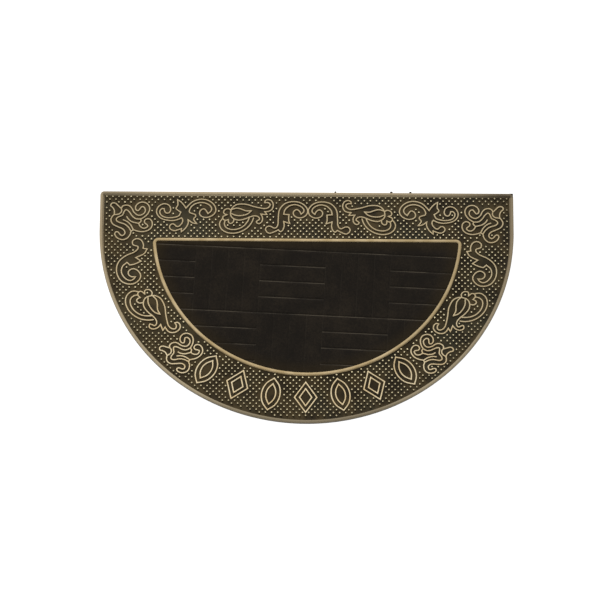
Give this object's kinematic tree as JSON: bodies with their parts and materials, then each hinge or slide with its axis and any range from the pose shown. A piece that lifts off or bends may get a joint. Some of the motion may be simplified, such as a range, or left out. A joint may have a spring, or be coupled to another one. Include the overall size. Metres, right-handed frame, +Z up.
{
  "type": "doormat",
  "caption": "Half-round rubber doormat with scrollwork in low relief on its border and a dark embossed carpet insert for wiping shoes.",
  "frame": {"origin": "middle of the bounding box, on the floor under the mat", "axes": "+X along the straight edge, +Y towards the straight edge, +Z up out of the floor"},
  "size_m": [0.75, 0.45, 0.0075],
  "materials": {
    "rubber": "matt dark brown moulded rubber, its rims, raised lines and pins brushed with pale gold paint",
    "carpet": "black-brown needle felt with pressed-in grooves"
  },
  "bodies": {
    "root": {"rubber_mat": "rubber", "carpet_insert": "carpet"}
  },
  "joints": []
}
